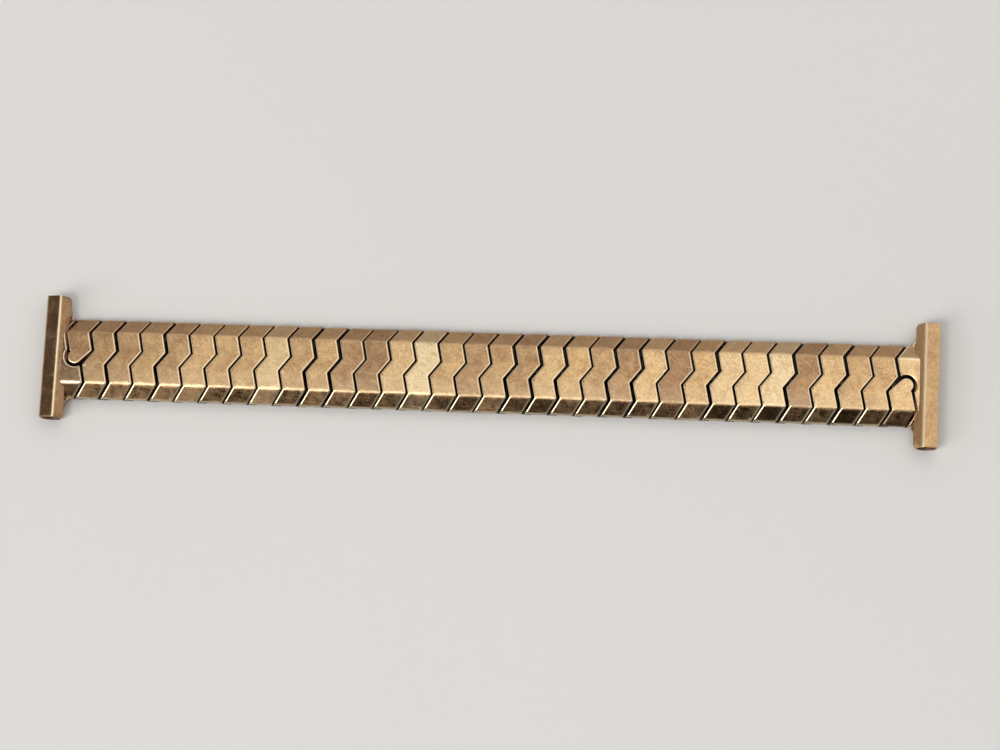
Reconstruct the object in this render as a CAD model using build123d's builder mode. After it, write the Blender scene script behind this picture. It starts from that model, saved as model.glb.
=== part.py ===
from build123d import *

import os
from math import asin, atan2, cos, hypot, pi, radians, sin, sqrt

# Expansion watch band: thirty-four spring-loaded links between two T-bar ends.
# X runs along the band, Y across it towards the far edge, Z up. Lengths are in millimetres.
# The origin is the middle of the band, on the surface that it lies on.

# Chain of links
link_count = 34
link_pitch = 3.55
seam_gap = 0.40

# Cap: folded shell with a flat top, two bevels and a wavy left and right edge
band_width = 11.42
flat_width = 7.24
cap_height = 2.60
bevel_drop = 1.25
lip_drop = 0.35
cap_sheet = 0.25
edge_break = 0.05

# Wave of the seams, as X steps between the points where a seam turns
kink_spacing = 2.10
wave_lean = 1.63
back_lean = 0.56
bevel_lean = 1.39

# Ears of the cap, folded under the casing
ear_width = 1.10
ear_start = 0.20
ear_fold = 1.05
ear_sheet = 0.20

# Lobe of the two end caps
lobe_radius = 0.98
lobe_centre_y = 0.12
lobe_groove = 0.50

# Casing: open steel tray under each cap
casing_sheet = 0.15
casing_depth = 1.10
casing_end_gap = 0.36
lug_width = 1.20
lug_start = 0.10
prop_width = 0.60
prop_sheet = 0.15

# Draw link: wire staple, its base turns in a knuckle and its legs slide in the next casing
wire_diameter = 0.32
leg_spacing = 7.80
bend_radius = 0.45
head_diameter = 0.64
head_length = 0.20
travel = 1.40
running_clearance = 0.04
knuckle_wall = 0.15
knuckle_setback = 0.57
knuckle_length = 6.60

# Coil spring on each leg, at its length when the band is fully drawn out
spring_wire = 0.12
spring_turns = 4

# End hinge between a T-bar end and its first link
pin_diameter = 0.32
pin_setback = 0.77
pin_height = 0.55
eye_length = 6.60
eye_wall = 0.14
neck_sheet = 0.20
hinge_casing_setback = 0.64

# T-bar end
bar_length = 17.50
bar_ridge_x = 61.05
bar_ridge_height = 3.10
bar_face_width = 2.05
bar_face_drop = 0.45
bar_slope_width = 1.31
bar_slope_drop = 1.15
bar_sheet = 0.30
mouth_length = 2.40
neck_in = 0.46
corner_radius = 0.75
plate_stop = 0.50

# Tube that takes the spring bar
tube_bore = 1.60
tube_inset = 0.60
tube_clearance = 0.04

# Cutting tools run past the faces that they cut by this much
overrun = 1.0

# Derived sizes of the cap
half_band = band_width / 2
half_flat = flat_width / 2
half_kink = kink_spacing / 2
wall_run = cap_sheet * hypot(kink_spacing, wave_lean) / kink_spacing
half_cap = (link_pitch - seam_gap) / 2
kink_lean = wave_lean / 2
fold_lean = kink_lean - back_lean
edge_lean = fold_lean + bevel_lean
foot_height = cap_height - bevel_drop
lip_height = foot_height - lip_drop
bevel_run = half_band - half_flat
bevel_slant = hypot(bevel_run, bevel_drop)
bevel_rise = bevel_drop / bevel_run
inner_drop = cap_sheet * bevel_slant / bevel_run

# Derived sizes of the casing and the mechanism
half_casing = half_band - cap_sheet - casing_end_gap
casing_left = -half_cap
wall_inside = casing_left + casing_sheet
knuckle_x = link_pitch / 2 - knuckle_setback
knuckle_bore = wire_diameter / 2 + running_clearance
knuckle_radius = knuckle_bore + knuckle_wall
wire_height = casing_sheet + knuckle_radius
leg_y = leg_spacing / 2
spring_length = spring_wire * spring_turns
head_x = wall_inside + spring_length + travel
lug_height = foot_height + (half_band - half_casing) * bevel_rise - inner_drop
pin_x = link_pitch / 2 - pin_setback
eye_bore = pin_diameter / 2 + running_clearance
eye_radius = eye_bore + eye_wall
hinge_casing_x = link_pitch / 2 - hinge_casing_setback

# Derived sizes of the T-bar end
bar_outer_x = bar_ridge_x + bar_face_width
bar_inner_x = bar_ridge_x - bar_slope_width
bar_radius = (bar_outer_x - bar_inner_x) / 2
bar_centre_x = bar_outer_x - bar_radius
end_link_x = (link_count - 1) / 2 * link_pitch
cavity_inner_x = bar_inner_x + neck_in + bar_sheet
cavity_radius = (bar_outer_x - bar_sheet - cavity_inner_x) / 2
tube_radius = cavity_radius - tube_clearance
tube_x = cavity_inner_x + cavity_radius
tube_height = bar_sheet + cavity_radius


def seam(x, inward=False):
    """Points of one wavy seam, from the far edge to the near edge, through x at its middle."""
    turns = [(edge_lean, half_band), (fold_lean, half_flat), (kink_lean, half_kink)]
    points = [(x + lean, y) for lean, y in turns]
    points += [(x - lean, -y) for lean, y in reversed(turns)]
    return points[::-1] if inward else points


def far_seam(x):
    """The half of a seam from the far edge to its first kink."""
    return seam(x)[:3]


def roof(width, flat, drop, top, bottom):
    """Corners of the cap's cross-section in Y and Z, down to the height called bottom."""
    return [
        (-width, bottom),
        (-width, top - drop),
        (-flat, top),
        (flat, top),
        (width, top - drop),
        (width, bottom),
    ]


def tangent_point(from_x, from_y, radius, centre_x, centre_y):
    """Where a line from a point touches a circle, on the circle's lower right side."""
    away = hypot(from_x - centre_x, from_y - centre_y)
    heading = atan2(centre_y - from_y, centre_x - from_x) + asin(radius / away)
    reach = sqrt(away**2 - radius**2)
    return from_x + reach * cos(heading), from_y + reach * sin(heading)


def full_outline(side=0.0):
    """Plan outline of an ordinary cap. side moves its wavy sides out along X, or in if negative."""
    right = half_cap + side
    with BuildSketch(mode=Mode.PRIVATE) as outline:
        with BuildLine():
            Polyline(*seam(right), *seam(-right, inward=True), close=True)
        make_face()
    return outline.sketch


def lobed_outline(side=0.0, lobe=0.0):
    """Plan outline of the left end cap: the far half of a cap, ending in a lobe that can grow too."""
    right = half_cap + side
    radius = lobe_radius + lobe
    touch = tangent_point(*seam(right)[2], radius, 0, lobe_centre_y)
    with BuildSketch(mode=Mode.PRIVATE) as outline:
        with BuildLine():
            Polyline(
                *far_seam(right),
                touch,
                (0, lobe_centre_y),
                *reversed(far_seam(-right)),
                close=True,
            )
        make_face()
        with Locations((0, lobe_centre_y)):
            Circle(radius)
    return outline.sketch


def make_roof(width, flat, drop, top, bottom, reach):
    """Solid under a cap-shaped roof, reach long each way along X."""
    with BuildPart(mode=Mode.PRIVATE) as solid:
        with BuildSketch(Plane.YZ):
            with BuildLine():
                Polyline(*roof(width, flat, drop, top, bottom), close=True)
            make_face()
        extrude(amount=reach, both=True)
    return solid.part


def on_roof(edge):
    """Is this an edge of the wavy outline, on the outside of the roof?"""
    for corner in edge.vertices():
        below = max(abs(corner.Y) - half_flat, 0) * bevel_rise
        if abs(corner.Z - (cap_height - below)) > edge_break / 2:
            return False
    runs_along = edge.geom_type == GeomType.LINE and edge.vertices()[0].Y == edge.vertices()[-1].Y
    return not runs_along


def make_cap(outline, inside, ears):
    """Hollow cap from its plan outlines. ears lists the sides, 1 far and -1 near, that have one."""
    with BuildPart() as cap:
        with BuildSketch(Plane.XY.offset(lip_height)):
            add(outline)
        extrude(amount=cap_height - lip_height)
        reach = link_pitch + overrun
        add(make_roof(half_band, half_flat, bevel_drop, cap_height, lip_height, reach), mode=Mode.INTERSECT)
        fillet(cap.edges().filter_by(on_roof), radius=edge_break)

        # Hollow under the sheet
        with BuildPart(mode=Mode.PRIVATE) as hollow:
            with BuildSketch(Plane.XY.offset(lip_height)):
                add(inside)
            extrude(amount=cap_height - lip_height)
            inner_top = cap_height - cap_sheet
            inner_flat = half_flat - (inner_drop - cap_sheet) / bevel_rise
            inner_width = half_band - cap_sheet
            inner_fall = (inner_width - inner_flat) * bevel_rise
            add(
                make_roof(inner_width, inner_flat, inner_fall, inner_top, lip_height, reach),
                mode=Mode.INTERSECT,
            )
        add(hollow.part, mode=Mode.SUBTRACT)

        # Side walls stop at the foot of the bevels, and only the lips reach lower
        with BuildSketch(Plane.XY.offset(lip_height)):
            Rectangle(2 * reach, 2 * (half_band - cap_sheet))
        extrude(amount=foot_height - lip_height, mode=Mode.SUBTRACT)

        # Ears run down outside the casing and fold under it
        for side in ears:
            middle = side * (ear_start + ear_width / 2)
            with BuildSketch():
                with Locations((middle, side * (half_band - cap_sheet / 2))):
                    Rectangle(ear_width, cap_sheet)
            extrude(amount=foot_height)
            with BuildSketch():
                with Locations((middle, side * (half_band - ear_fold / 2))):
                    Rectangle(ear_width, ear_fold)
            extrude(amount=ear_sheet)
    return cap.part


def make_casing(left_hinge=False, right_hinge=False, sides=(1, -1), lobe_side=0):
    """Steel tray. A side is either a link joint or, for a T-bar end, a pair of pin holes."""
    left = -hinge_casing_x if left_hinge else casing_left
    right = hinge_casing_x if right_hinge else half_cap
    inner_left = left - overrun if left_hinge else wall_inside
    inner_right = right + overrun
    with BuildPart() as casing:
        with BuildSketch():
            with Locations(((left + right) / 2, 0)):
                Rectangle(right - left, 2 * half_casing)
        extrude(amount=casing_depth)

        # Round ends of the end walls, about the hinge pin
        for hinge, x in ((left_hinge, -pin_x), (right_hinge, pin_x)):
            if hinge:
                with BuildSketch(Plane.XZ.offset(-half_casing)):
                    with Locations((x, pin_height)):
                        Circle(eye_radius)
                extrude(amount=2 * half_casing)

        # Inside of the tray
        with BuildSketch(Plane.XY.offset(casing_sheet)):
            with Locations(((inner_left + inner_right) / 2, 0)):
                Rectangle(inner_right - inner_left, 2 * (half_casing - casing_sheet))
        extrude(amount=casing_depth, mode=Mode.SUBTRACT)

        # Lugs that carry the cap's bevels
        for side in sides:
            with BuildSketch(Plane.XY.offset(casing_depth)):
                with Locations((side * (lug_start + lug_width / 2), side * (half_casing - casing_sheet / 2))):
                    Rectangle(lug_width, casing_sheet)
            extrude(amount=lug_height - casing_depth)

        # Prop under the lobe of an end cap
        if lobe_side:
            with BuildSketch():
                with Locations((0, lobe_side * lobe_centre_y)):
                    Rectangle(prop_width, prop_sheet)
            extrude(amount=cap_height - cap_sheet)

        # Knuckle for the base of the draw link
        if not right_hinge:
            with BuildSketch():
                with Locations((knuckle_x, 0)):
                    Rectangle(2 * knuckle_wall, knuckle_length)
            extrude(amount=wire_height - knuckle_bore)
            with BuildSketch(Plane.XZ.offset(-knuckle_length / 2)):
                with Locations((knuckle_x, wire_height)):
                    Circle(knuckle_radius)
            extrude(amount=knuckle_length)
            with BuildSketch(Plane.XZ.offset(-half_casing)):
                with Locations((knuckle_x, wire_height)):
                    Circle(knuckle_bore)
            extrude(amount=knuckle_length / 2 + half_casing, mode=Mode.SUBTRACT)

        # Holes for the legs of the link before
        if not left_hinge:
            with BuildSketch(Plane.YZ.offset(casing_left - overrun)):
                with Locations((leg_y, wire_height), (-leg_y, wire_height)):
                    Circle(knuckle_bore)
            extrude(amount=casing_sheet + overrun, mode=Mode.SUBTRACT)

        # Holes for the hinge pin
        for hinge, x in ((left_hinge, -pin_x), (right_hinge, pin_x)):
            if hinge:
                with BuildSketch(Plane.XZ.offset(-half_casing)):
                    with Locations((x, pin_height)):
                        Circle(eye_bore)
                extrude(amount=2 * half_casing, mode=Mode.SUBTRACT)

        # Seats for the folded ears
        for side in sides:
            with BuildSketch():
                with Locations((side * (ear_start + ear_width / 2), side * (half_band - ear_fold / 2))):
                    Rectangle(ear_width + 2 * running_clearance, ear_fold + 2 * running_clearance)
            extrude(amount=ear_sheet, mode=Mode.SUBTRACT)
    return casing.part


def make_draw_link():
    """Wire staple: base along Y in the knuckle, two legs that end in heads in the next casing."""
    tip_x = link_pitch + head_x + head_length
    with BuildPart() as staple:
        with BuildLine(Plane.XY.offset(wire_height)):
            FilletPolyline(
                (tip_x, -leg_y),
                (knuckle_x, -leg_y),
                (knuckle_x, leg_y),
                (tip_x, leg_y),
                radius=bend_radius,
            )
        with BuildSketch(Plane(origin=(tip_x, -leg_y, wire_height), z_dir=(-1, 0, 0))):
            Circle(wire_diameter / 2)
        sweep()
        with BuildSketch(Plane.YZ.offset(tip_x - head_length)):
            with Locations((leg_y, wire_height), (-leg_y, wire_height)):
                Circle(head_diameter / 2)
        extrude(amount=head_length)
    return staple.part


def make_spring(side):
    """Coil spring pressed to its shortest length against the casing's left wall, as a ribbed sleeve."""
    inner = knuckle_bore
    outer = head_diameter / 2
    root = outer - spring_wire / 4
    axis = Axis((0, side * leg_y, wire_height), (1, 0, 0))
    with BuildPart() as spring:
        with BuildSketch(Plane.XZ.offset(-side * leg_y)):
            with Locations((wall_inside + spring_length / 2, wire_height + (inner + root) / 2)):
                Rectangle(spring_length, root - inner)
            for turn in range(spring_turns):
                middle = wall_inside + (turn + 1 / 2) * spring_wire
                with Locations((middle, wire_height + outer - spring_wire / 2)):
                    Circle(spring_wire / 2)
        revolve(axis=axis)
    return spring.part


def make_pin(side):
    """Hinge pin through the eye of a T-bar end, held in the end walls of the end link."""
    with BuildPart() as pin:
        with BuildSketch(Plane.XZ.offset(-half_casing)):
            with Locations((side * pin_x, pin_height)):
                Circle(pin_diameter / 2)
        extrude(amount=2 * half_casing)
    return pin.part


def bar_profile(sheet, inner_x):
    """Section of the T-bar in X and Z, drawn for the left end and taken in by sheet."""
    outer = bar_outer_x - sheet
    ridge = bar_ridge_height - sheet
    shoulder = bar_ridge_height - bar_face_drop - sheet
    flank = ridge - (bar_ridge_x - inner_x) * bar_slope_drop / bar_slope_width
    middle = (outer + inner_x) / 2
    radius = (outer - inner_x) / 2
    with BuildSketch(mode=Mode.PRIVATE) as section:
        with BuildLine():
            Polyline(
                (-outer, sheet + radius),
                (-outer, shoulder),
                (-bar_ridge_x, ridge),
                (-inner_x, flank),
                (-inner_x, sheet + radius),
            )
            ThreePointArc((-inner_x, sheet + radius), (-middle, sheet), (-outer, sheet + radius))
        make_face()
    return section.sketch


def make_bar():
    """Solid T-bar of the left end, before it is hollowed."""
    with BuildPart(mode=Mode.PRIVATE) as bar:
        with BuildSketch(Plane.XZ):
            add(bar_profile(0, bar_inner_x))
        extrude(amount=bar_length / 2, both=True)
    return bar.part


def make_end_shell():
    """Left T-bar end: hollow bar with a plate that closes round the lobed cap."""
    reach = link_pitch + overrun
    left = end_link_x - bar_centre_x
    with BuildPart() as shell:
        # Plate over the near half of the end link, with the same roof as the caps
        with BuildSketch(Plane.XY.offset(lip_height)):
            with BuildLine():
                Polyline(*seam(half_cap), (left, -half_band), (left, half_band), close=True)
            make_face()
        extrude(amount=cap_height - lip_height)
        add(make_roof(half_band, half_flat, bevel_drop, cap_height, lip_height, reach), mode=Mode.INTERSECT)
        with BuildPart(mode=Mode.PRIVATE) as hollow:
            with BuildSketch(Plane.XY.offset(lip_height)):
                with BuildLine():
                    Polyline(*seam(half_cap - wall_run), (left, -half_band), (left, half_band), close=True)
                make_face()
                add(lobed_outline(seam_gap + wall_run, lobe_groove + cap_sheet), mode=Mode.SUBTRACT)
            extrude(amount=cap_height - lip_height)
            inner_width = half_band - cap_sheet
            inner_flat = half_flat - (inner_drop - cap_sheet) / bevel_rise
            inner_fall = (inner_width - inner_flat) * bevel_rise
            inner_top = cap_height - cap_sheet
            add(
                make_roof(inner_width, inner_flat, inner_fall, inner_top, lip_height, reach),
                mode=Mode.INTERSECT,
            )
        add(hollow.part, mode=Mode.SUBTRACT)
        with BuildSketch(Plane.XY.offset(lip_height)):
            Rectangle(2 * reach, 2 * (half_band - cap_sheet))
        extrude(amount=foot_height - lip_height, mode=Mode.SUBTRACT)
    with BuildPart() as end:
        with Locations((-end_link_x, 0)):
            add(shell.part)
        # Lips along the foot of the plate, with a rounded web in each corner at the bar
        for side, stop in ((1, -end_link_x - half_cap + edge_lean - seam_gap), (-1, -end_link_x - plate_stop)):
            with BuildSketch(Plane.XY.offset(lip_height)):
                with Locations(((stop - bar_centre_x) / 2, side * (half_band - cap_sheet / 2))):
                    Rectangle(bar_centre_x + stop, cap_sheet)
                with Locations((corner_radius / 2 - bar_inner_x, side * (half_band + corner_radius / 2))):
                    Rectangle(corner_radius, corner_radius)
                with Locations((corner_radius - bar_inner_x, side * (half_band + corner_radius))):
                    Circle(corner_radius, mode=Mode.SUBTRACT)
            extrude(amount=foot_height - lip_height)
        add(make_bar())
        # Room for the lobed cap
        with BuildSketch(Plane.XY.offset(lip_height)):
            with Locations((-end_link_x, 0)):
                add(lobed_outline(seam_gap, lobe_groove))
        extrude(amount=bar_ridge_height, mode=Mode.SUBTRACT)
        # Hollow of the bar, wider in its two mouths
        with BuildSketch(Plane.XZ):
            add(bar_profile(bar_sheet, cavity_inner_x))
        extrude(amount=bar_length / 2, both=True, mode=Mode.SUBTRACT)
        for side in (1, -1):
            with BuildPart(mode=Mode.PRIVATE) as mouth:
                with BuildSketch(Plane.XZ):
                    add(bar_profile(bar_sheet, bar_inner_x + bar_sheet))
                extrude(amount=mouth_length, both=True)
            with Locations((0, side * bar_length / 2)):
                add(mouth.part, mode=Mode.SUBTRACT)
    return end.part


def make_bar_tube():
    """Tube in the left T-bar, for the spring bar."""
    with BuildPart() as tube:
        with BuildSketch(Plane.XZ):
            with Locations((-tube_x, tube_height)):
                Circle(tube_radius)
                Circle(tube_bore / 2, mode=Mode.SUBTRACT)
        extrude(amount=bar_length / 2 - tube_inset, both=True)
    return tube.part


def make_end_hinge():
    """Rolled eye of the left end, on a neck that is soldered to the bar."""
    eye_x = -end_link_x - pin_x
    with BuildPart() as hinge:
        with BuildSketch(Plane.XY.offset(pin_height - neck_sheet / 2)):
            with Locations(((eye_x - bar_centre_x) / 2, 0)):
                Rectangle(bar_centre_x + eye_x, eye_length)
        extrude(amount=neck_sheet)
        with BuildSketch(Plane.XZ):
            with Locations((eye_x, pin_height)):
                Circle(eye_radius)
        extrude(amount=eye_length / 2, both=True)
        with BuildSketch(Plane.XZ):
            with Locations((eye_x, pin_height)):
                Circle(eye_bore)
        extrude(amount=eye_length / 2, both=True, mode=Mode.SUBTRACT)
        add(make_bar(), mode=Mode.SUBTRACT)
    return hinge.part


def placed(piece, label, x=0.0, turned=False):
    """A labelled copy of a piece at x along the band, turned half round about Z for the right end."""
    with BuildPart() as copy:
        with Locations(Location((x, 0, 0), (0, 0, 180 if turned else 0))):
            add(piece)
    copy.part.label = label
    return copy.part


def write(name, pieces):
    """Write one node: a single piece, or a link as a group of separate pieces."""
    if len(pieces) == 1:
        node = pieces[0]
        node.label = name
    else:
        node = Compound(label=name, children=pieces)
    export_step(node, f"parts/{name}.step")
    solids = node.solids()
    print(f"{name}: {len(solids)} solids, {sum(s.volume for s in solids):.3f} mm3")


os.makedirs("parts", exist_ok=True)

cap = make_cap(full_outline(), full_outline(-wall_run), ears=(1, -1))
lobed_cap = make_cap(lobed_outline(), lobed_outline(-wall_run, -cap_sheet), ears=(1,))
casing = make_casing()
first_casing = make_casing(left_hinge=True, sides=(1,), lobe_side=1)
last_casing = make_casing(right_hinge=True, sides=(-1,), lobe_side=-1)
draw_link = make_draw_link()
springs = [make_spring(1), make_spring(-1)]

for number in range(1, link_count + 1):
    x = (number - (link_count + 1) / 2) * link_pitch
    tag = f"{number:02d}"
    first, last = number == 1, number == link_count
    tray = first_casing if first else last_casing if last else casing
    pieces = [
        placed(lobed_cap if first or last else cap, f"cap_{tag}", x, turned=last),
        placed(tray, f"casing_{tag}", x),
    ]
    if not first:
        pieces += [placed(s, f"spring_{tag}_{i}", x) for i, s in enumerate(springs, 1)]
    if number % 2:
        pieces.append(placed(draw_link, f"staple_{tag}", x))
    write(f"link_{tag}", pieces)
    if number % 2 == 0 and not last:
        write(f"draw_link_{tag}", [placed(draw_link, f"draw_link_{tag}", x)])

end_pieces = {
    "end_shell": make_end_shell(),
    "bar_tube": make_bar_tube(),
    "end_hinge": make_end_hinge(),
}
for side in ("left", "right"):
    for name, piece in end_pieces.items():
        write(f"{side}_{name}", [placed(piece, name, turned=side == "right")])
write("left_hinge_pin", [placed(make_pin(-1), "pin", -end_link_x)])
write("right_hinge_pin", [placed(make_pin(1), "pin", end_link_x)])
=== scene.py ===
"""A worn gold-filled expansion watch band, lying closed on a pale table.

Sizes are in millimetres and are turned into metres where meshes are made.
"""

import logging
import math
import random
from dataclasses import dataclass, field, replace
from enum import Enum
from functools import reduce
from typing import Callable, Sequence, Union

import bmesh
import bpy
from mathutils import Matrix, Vector, noise
from mathutils.geometry import delaunay_2d_cdt


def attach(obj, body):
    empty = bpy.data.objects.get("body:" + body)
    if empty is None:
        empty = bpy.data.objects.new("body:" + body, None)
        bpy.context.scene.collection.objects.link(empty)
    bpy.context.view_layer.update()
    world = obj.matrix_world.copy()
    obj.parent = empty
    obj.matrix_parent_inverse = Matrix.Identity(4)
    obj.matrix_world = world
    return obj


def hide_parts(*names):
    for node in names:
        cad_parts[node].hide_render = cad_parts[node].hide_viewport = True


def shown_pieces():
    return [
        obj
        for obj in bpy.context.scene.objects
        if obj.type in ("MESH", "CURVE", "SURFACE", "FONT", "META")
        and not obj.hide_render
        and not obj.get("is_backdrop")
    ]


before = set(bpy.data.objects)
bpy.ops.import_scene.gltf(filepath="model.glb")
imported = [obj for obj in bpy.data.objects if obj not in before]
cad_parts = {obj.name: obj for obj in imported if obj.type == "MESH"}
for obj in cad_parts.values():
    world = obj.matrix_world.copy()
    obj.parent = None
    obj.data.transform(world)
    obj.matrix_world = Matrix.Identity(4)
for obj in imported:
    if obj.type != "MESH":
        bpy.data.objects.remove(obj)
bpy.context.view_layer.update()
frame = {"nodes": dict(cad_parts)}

MM = 0.001
LINK_COUNT = 34
LINK_PITCH = 3.55

log = logging.getLogger("band")

Point = tuple[float, float]
Triple = tuple[float, float, float]
Colour = Triple
Loop = list[bmesh.types.BMVert]
Socket = bpy.types.NodeSocket
Feed = Union[Socket, float]


class Side(Enum):
    """The two ends of the band, by the X direction that each one points in."""

    LEFT = -1
    RIGHT = 1


class Slot(Enum):
    """The record's material slots."""

    GOLD = "gold_filled"
    STEEL = "steel"


def cad_nodes() -> dict[str, bpy.types.Object]:
    """The CAD nodes by name."""
    return frame["nodes"]


def link_x(number: int) -> float:
    """X of a link's middle, with link 1 at the left end."""
    return (number - (LINK_COUNT + 1) / 2) * LINK_PITCH


def placed(name: str, data: bpy.types.ID) -> bpy.types.Object:
    """Makes an object and links it to the scene.

    Args:
        name: Name of the object.
        data: Its mesh, lamp or camera.

    Returns:
        The object.
    """
    made = bpy.data.objects.new(name, data)
    bpy.context.scene.collection.objects.link(made)
    return made


def add_values(data: bpy.types.Mesh, values: dict[str, Sequence[float]]) -> None:
    """Stores a number per point of a mesh under each name."""
    for label, numbers in values.items():
        data.attributes.new(label, "FLOAT", "POINT").data.foreach_set("value", numbers)


def soften(made: bpy.types.Object, width: float) -> None:
    """Rounds a piece's sharp edges with a modifier.

    Args:
        made: The piece.
        width: Width of the rounding.
    """
    bevel = made.modifiers.new("edges", "BEVEL")
    bevel.width = width * MM
    bevel.segments = 2
    bevel.limit_method = "ANGLE"
    bevel.angle_limit = math.radians(35)
    bevel.use_clamp_overlap = True


def smooth_step(low: float, high: float, value: float) -> float:
    """Eased share of the way from low to high.

    Args:
        low: Value that gives 0.
        high: Value that gives 1.
        value: Value to place between them.

    Returns:
        A number from 0 to 1.
    """
    t = min(max((value - low) / (high - low), 0.0), 1.0)
    return t * t * (3 - 2 * t)


def corner_curve(corners: Sequence[Point], cut: float, limit: float, steps: int) -> list[Point]:
    """Curve that takes the place of a corner.

    Args:
        corners: The corner before it, the corner itself and the corner after it.
        cut: How far from the corner the curve starts and ends.
        limit: Largest share of each run that the curve may take.
        steps: Runs in the curve.

    Returns:
        Its points.
    """
    before, here, after = (Vector(corner) for corner in corners)
    before, after = before - here, after - here
    a = here + before.normalized() * min(cut, before.length * limit)
    b = here + after.normalized() * min(cut, after.length * limit)
    shares = [step / steps for step in range(steps + 1)]
    return [tuple(a * (1 - t) ** 2 + here * 2 * t * (1 - t) + b * t**2) for t in shares]


def rounded(points: Sequence[Point], radius: float) -> list[Point]:
    """Rounds the corners of a closed outline.

    Args:
        points: Corners of the outline.
        radius: How far from each corner its rounding starts.

    Returns:
        The outline with a short curve in place of each corner.
    """
    out: list[Point] = []
    for i, corner in enumerate(points):
        corners = (points[i - 1], corner, points[(i + 1) % len(points)])
        out += corner_curve(corners, radius, limit=0.45, steps=4)
    return out


def densified(points: Sequence[Point], gap: float) -> list[Point]:
    """Splits the long runs of a closed outline.

    Args:
        points: Corners of the outline.
        gap: Longest run to leave.

    Returns:
        The same outline with more points on it.
    """
    out: list[Point] = []
    for i, corner in enumerate(points):
        a, b = Vector(corner), Vector(points[(i + 1) % len(points)])
        count = max(1, math.ceil((b - a).length / gap))
        out += [tuple(a.lerp(b, k / count)) for k in range(count)]
    return out


def inset(points: Sequence[Point], amount: float) -> list[Point]:
    """Moves a closed outline inwards along its corner normals.

    Args:
        points: Outline, counter-clockwise.
        amount: How far to move it.

    Returns:
        The smaller outline, point for point.
    """
    out: list[Point] = []
    for i, corner in enumerate(points):
        here = Vector(corner)
        before = (here - Vector(points[i - 1])).normalized()
        after = (Vector(points[(i + 1) % len(points)]) - here).normalized()
        along = before + after
        if along.length < 1e-6:
            along = after
        along.normalize()
        spread = max(0.5, math.sqrt(max(0.0, (1 + before.dot(after)) / 2)))
        out.append(tuple(here + Vector((-along.y, along.x)) * (amount / spread)))
    return out


def counter_clockwise(points: Sequence[Point]) -> list[Point]:
    """The same closed outline, turned counter-clockwise if it isn't."""
    area = sum(a[0] * b[1] - b[0] * a[1] for a, b in zip(points, [*points[1:], points[0]]))
    return list(points) if area > 0 else list(reversed(points))


def holds(points: Sequence[Point], x: float, y: float, margin: float) -> bool:
    """Is a point inside a closed outline, at least margin from its corners?

    Args:
        points: Outline.
        x: X of the point.
        y: Y of the point.
        margin: Smallest distance to any corner of the outline.

    Returns:
        True if the point is well inside.
    """
    inside = False
    for i, (ax, ay) in enumerate(points):
        bx, by = points[i - 1]
        if (ay > y) != (by > y) and x < (bx - ax) * (y - ay) / (by - ay) + ax:
            inside = not inside
        if (ax - x) ** 2 + (ay - y) ** 2 < margin**2:
            return False
    return inside


@dataclass(frozen=True)
class Wave:
    """Plan shapes that the links share: their seams, by where they lean, and the end lobe."""

    half_band: float = 5.71
    half_flat: float = 3.62
    half_kink: float = 1.05
    edge_lean: float = 1.645
    fold_lean: float = 0.255
    kink_lean: float = 0.815
    half_width: float = 1.575
    lobe_y: float = 0.12
    lobe_radius: float = 0.98

    def seam(self, x: float) -> list[Point]:
        """Points of a seam through x, from the far edge to the near edge.

        Args:
            x: Where the seam crosses the middle of the band.

        Returns:
            Its six corners.
        """
        turns = [
            (self.edge_lean, self.half_band),
            (self.fold_lean, self.half_flat),
            (self.kink_lean, self.half_kink),
        ]
        far = [(x + lean, y) for lean, y in turns]
        return far + [(x - lean, -y) for lean, y in reversed(turns)]

    def touch(self, corner: Point, radius: float) -> float:
        """Where a line from a corner touches a circle about the lobe's middle.

        Args:
            corner: The corner.
            radius: Radius of the circle.

        Returns:
            Angle of the place on the circle.
        """
        start, centre = Vector(corner), Vector((0.0, self.lobe_y))
        away = centre - start
        heading = math.atan2(away.y, away.x) + math.asin(radius / away.length)
        reach = math.sqrt(away.length**2 - radius**2)
        touch = start + Vector((math.cos(heading), math.sin(heading))) * reach
        return math.atan2(touch.y - centre.y, touch.x - centre.x)

    def round(self, radius: float, angle: float) -> Point:
        """Place on a circle about the lobe's middle."""
        return (radius * math.cos(angle), self.lobe_y + radius * math.sin(angle))

    def arc(self, radius: float, start: float, notch: Point, steps: int) -> list[Point]:
        """Clockwise arc about the lobe's middle.

        Args:
            radius: Its radius.
            start: Angle at which it starts.
            notch: Point in whose direction it ends.
            steps: Runs in the arc.

        Returns:
            Its points.
        """
        end = math.atan2(notch[1] - self.lobe_y, notch[0]) - 2 * math.pi
        return [self.round(radius, start + (end - start) * k / steps) for k in range(steps + 1)]


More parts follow.
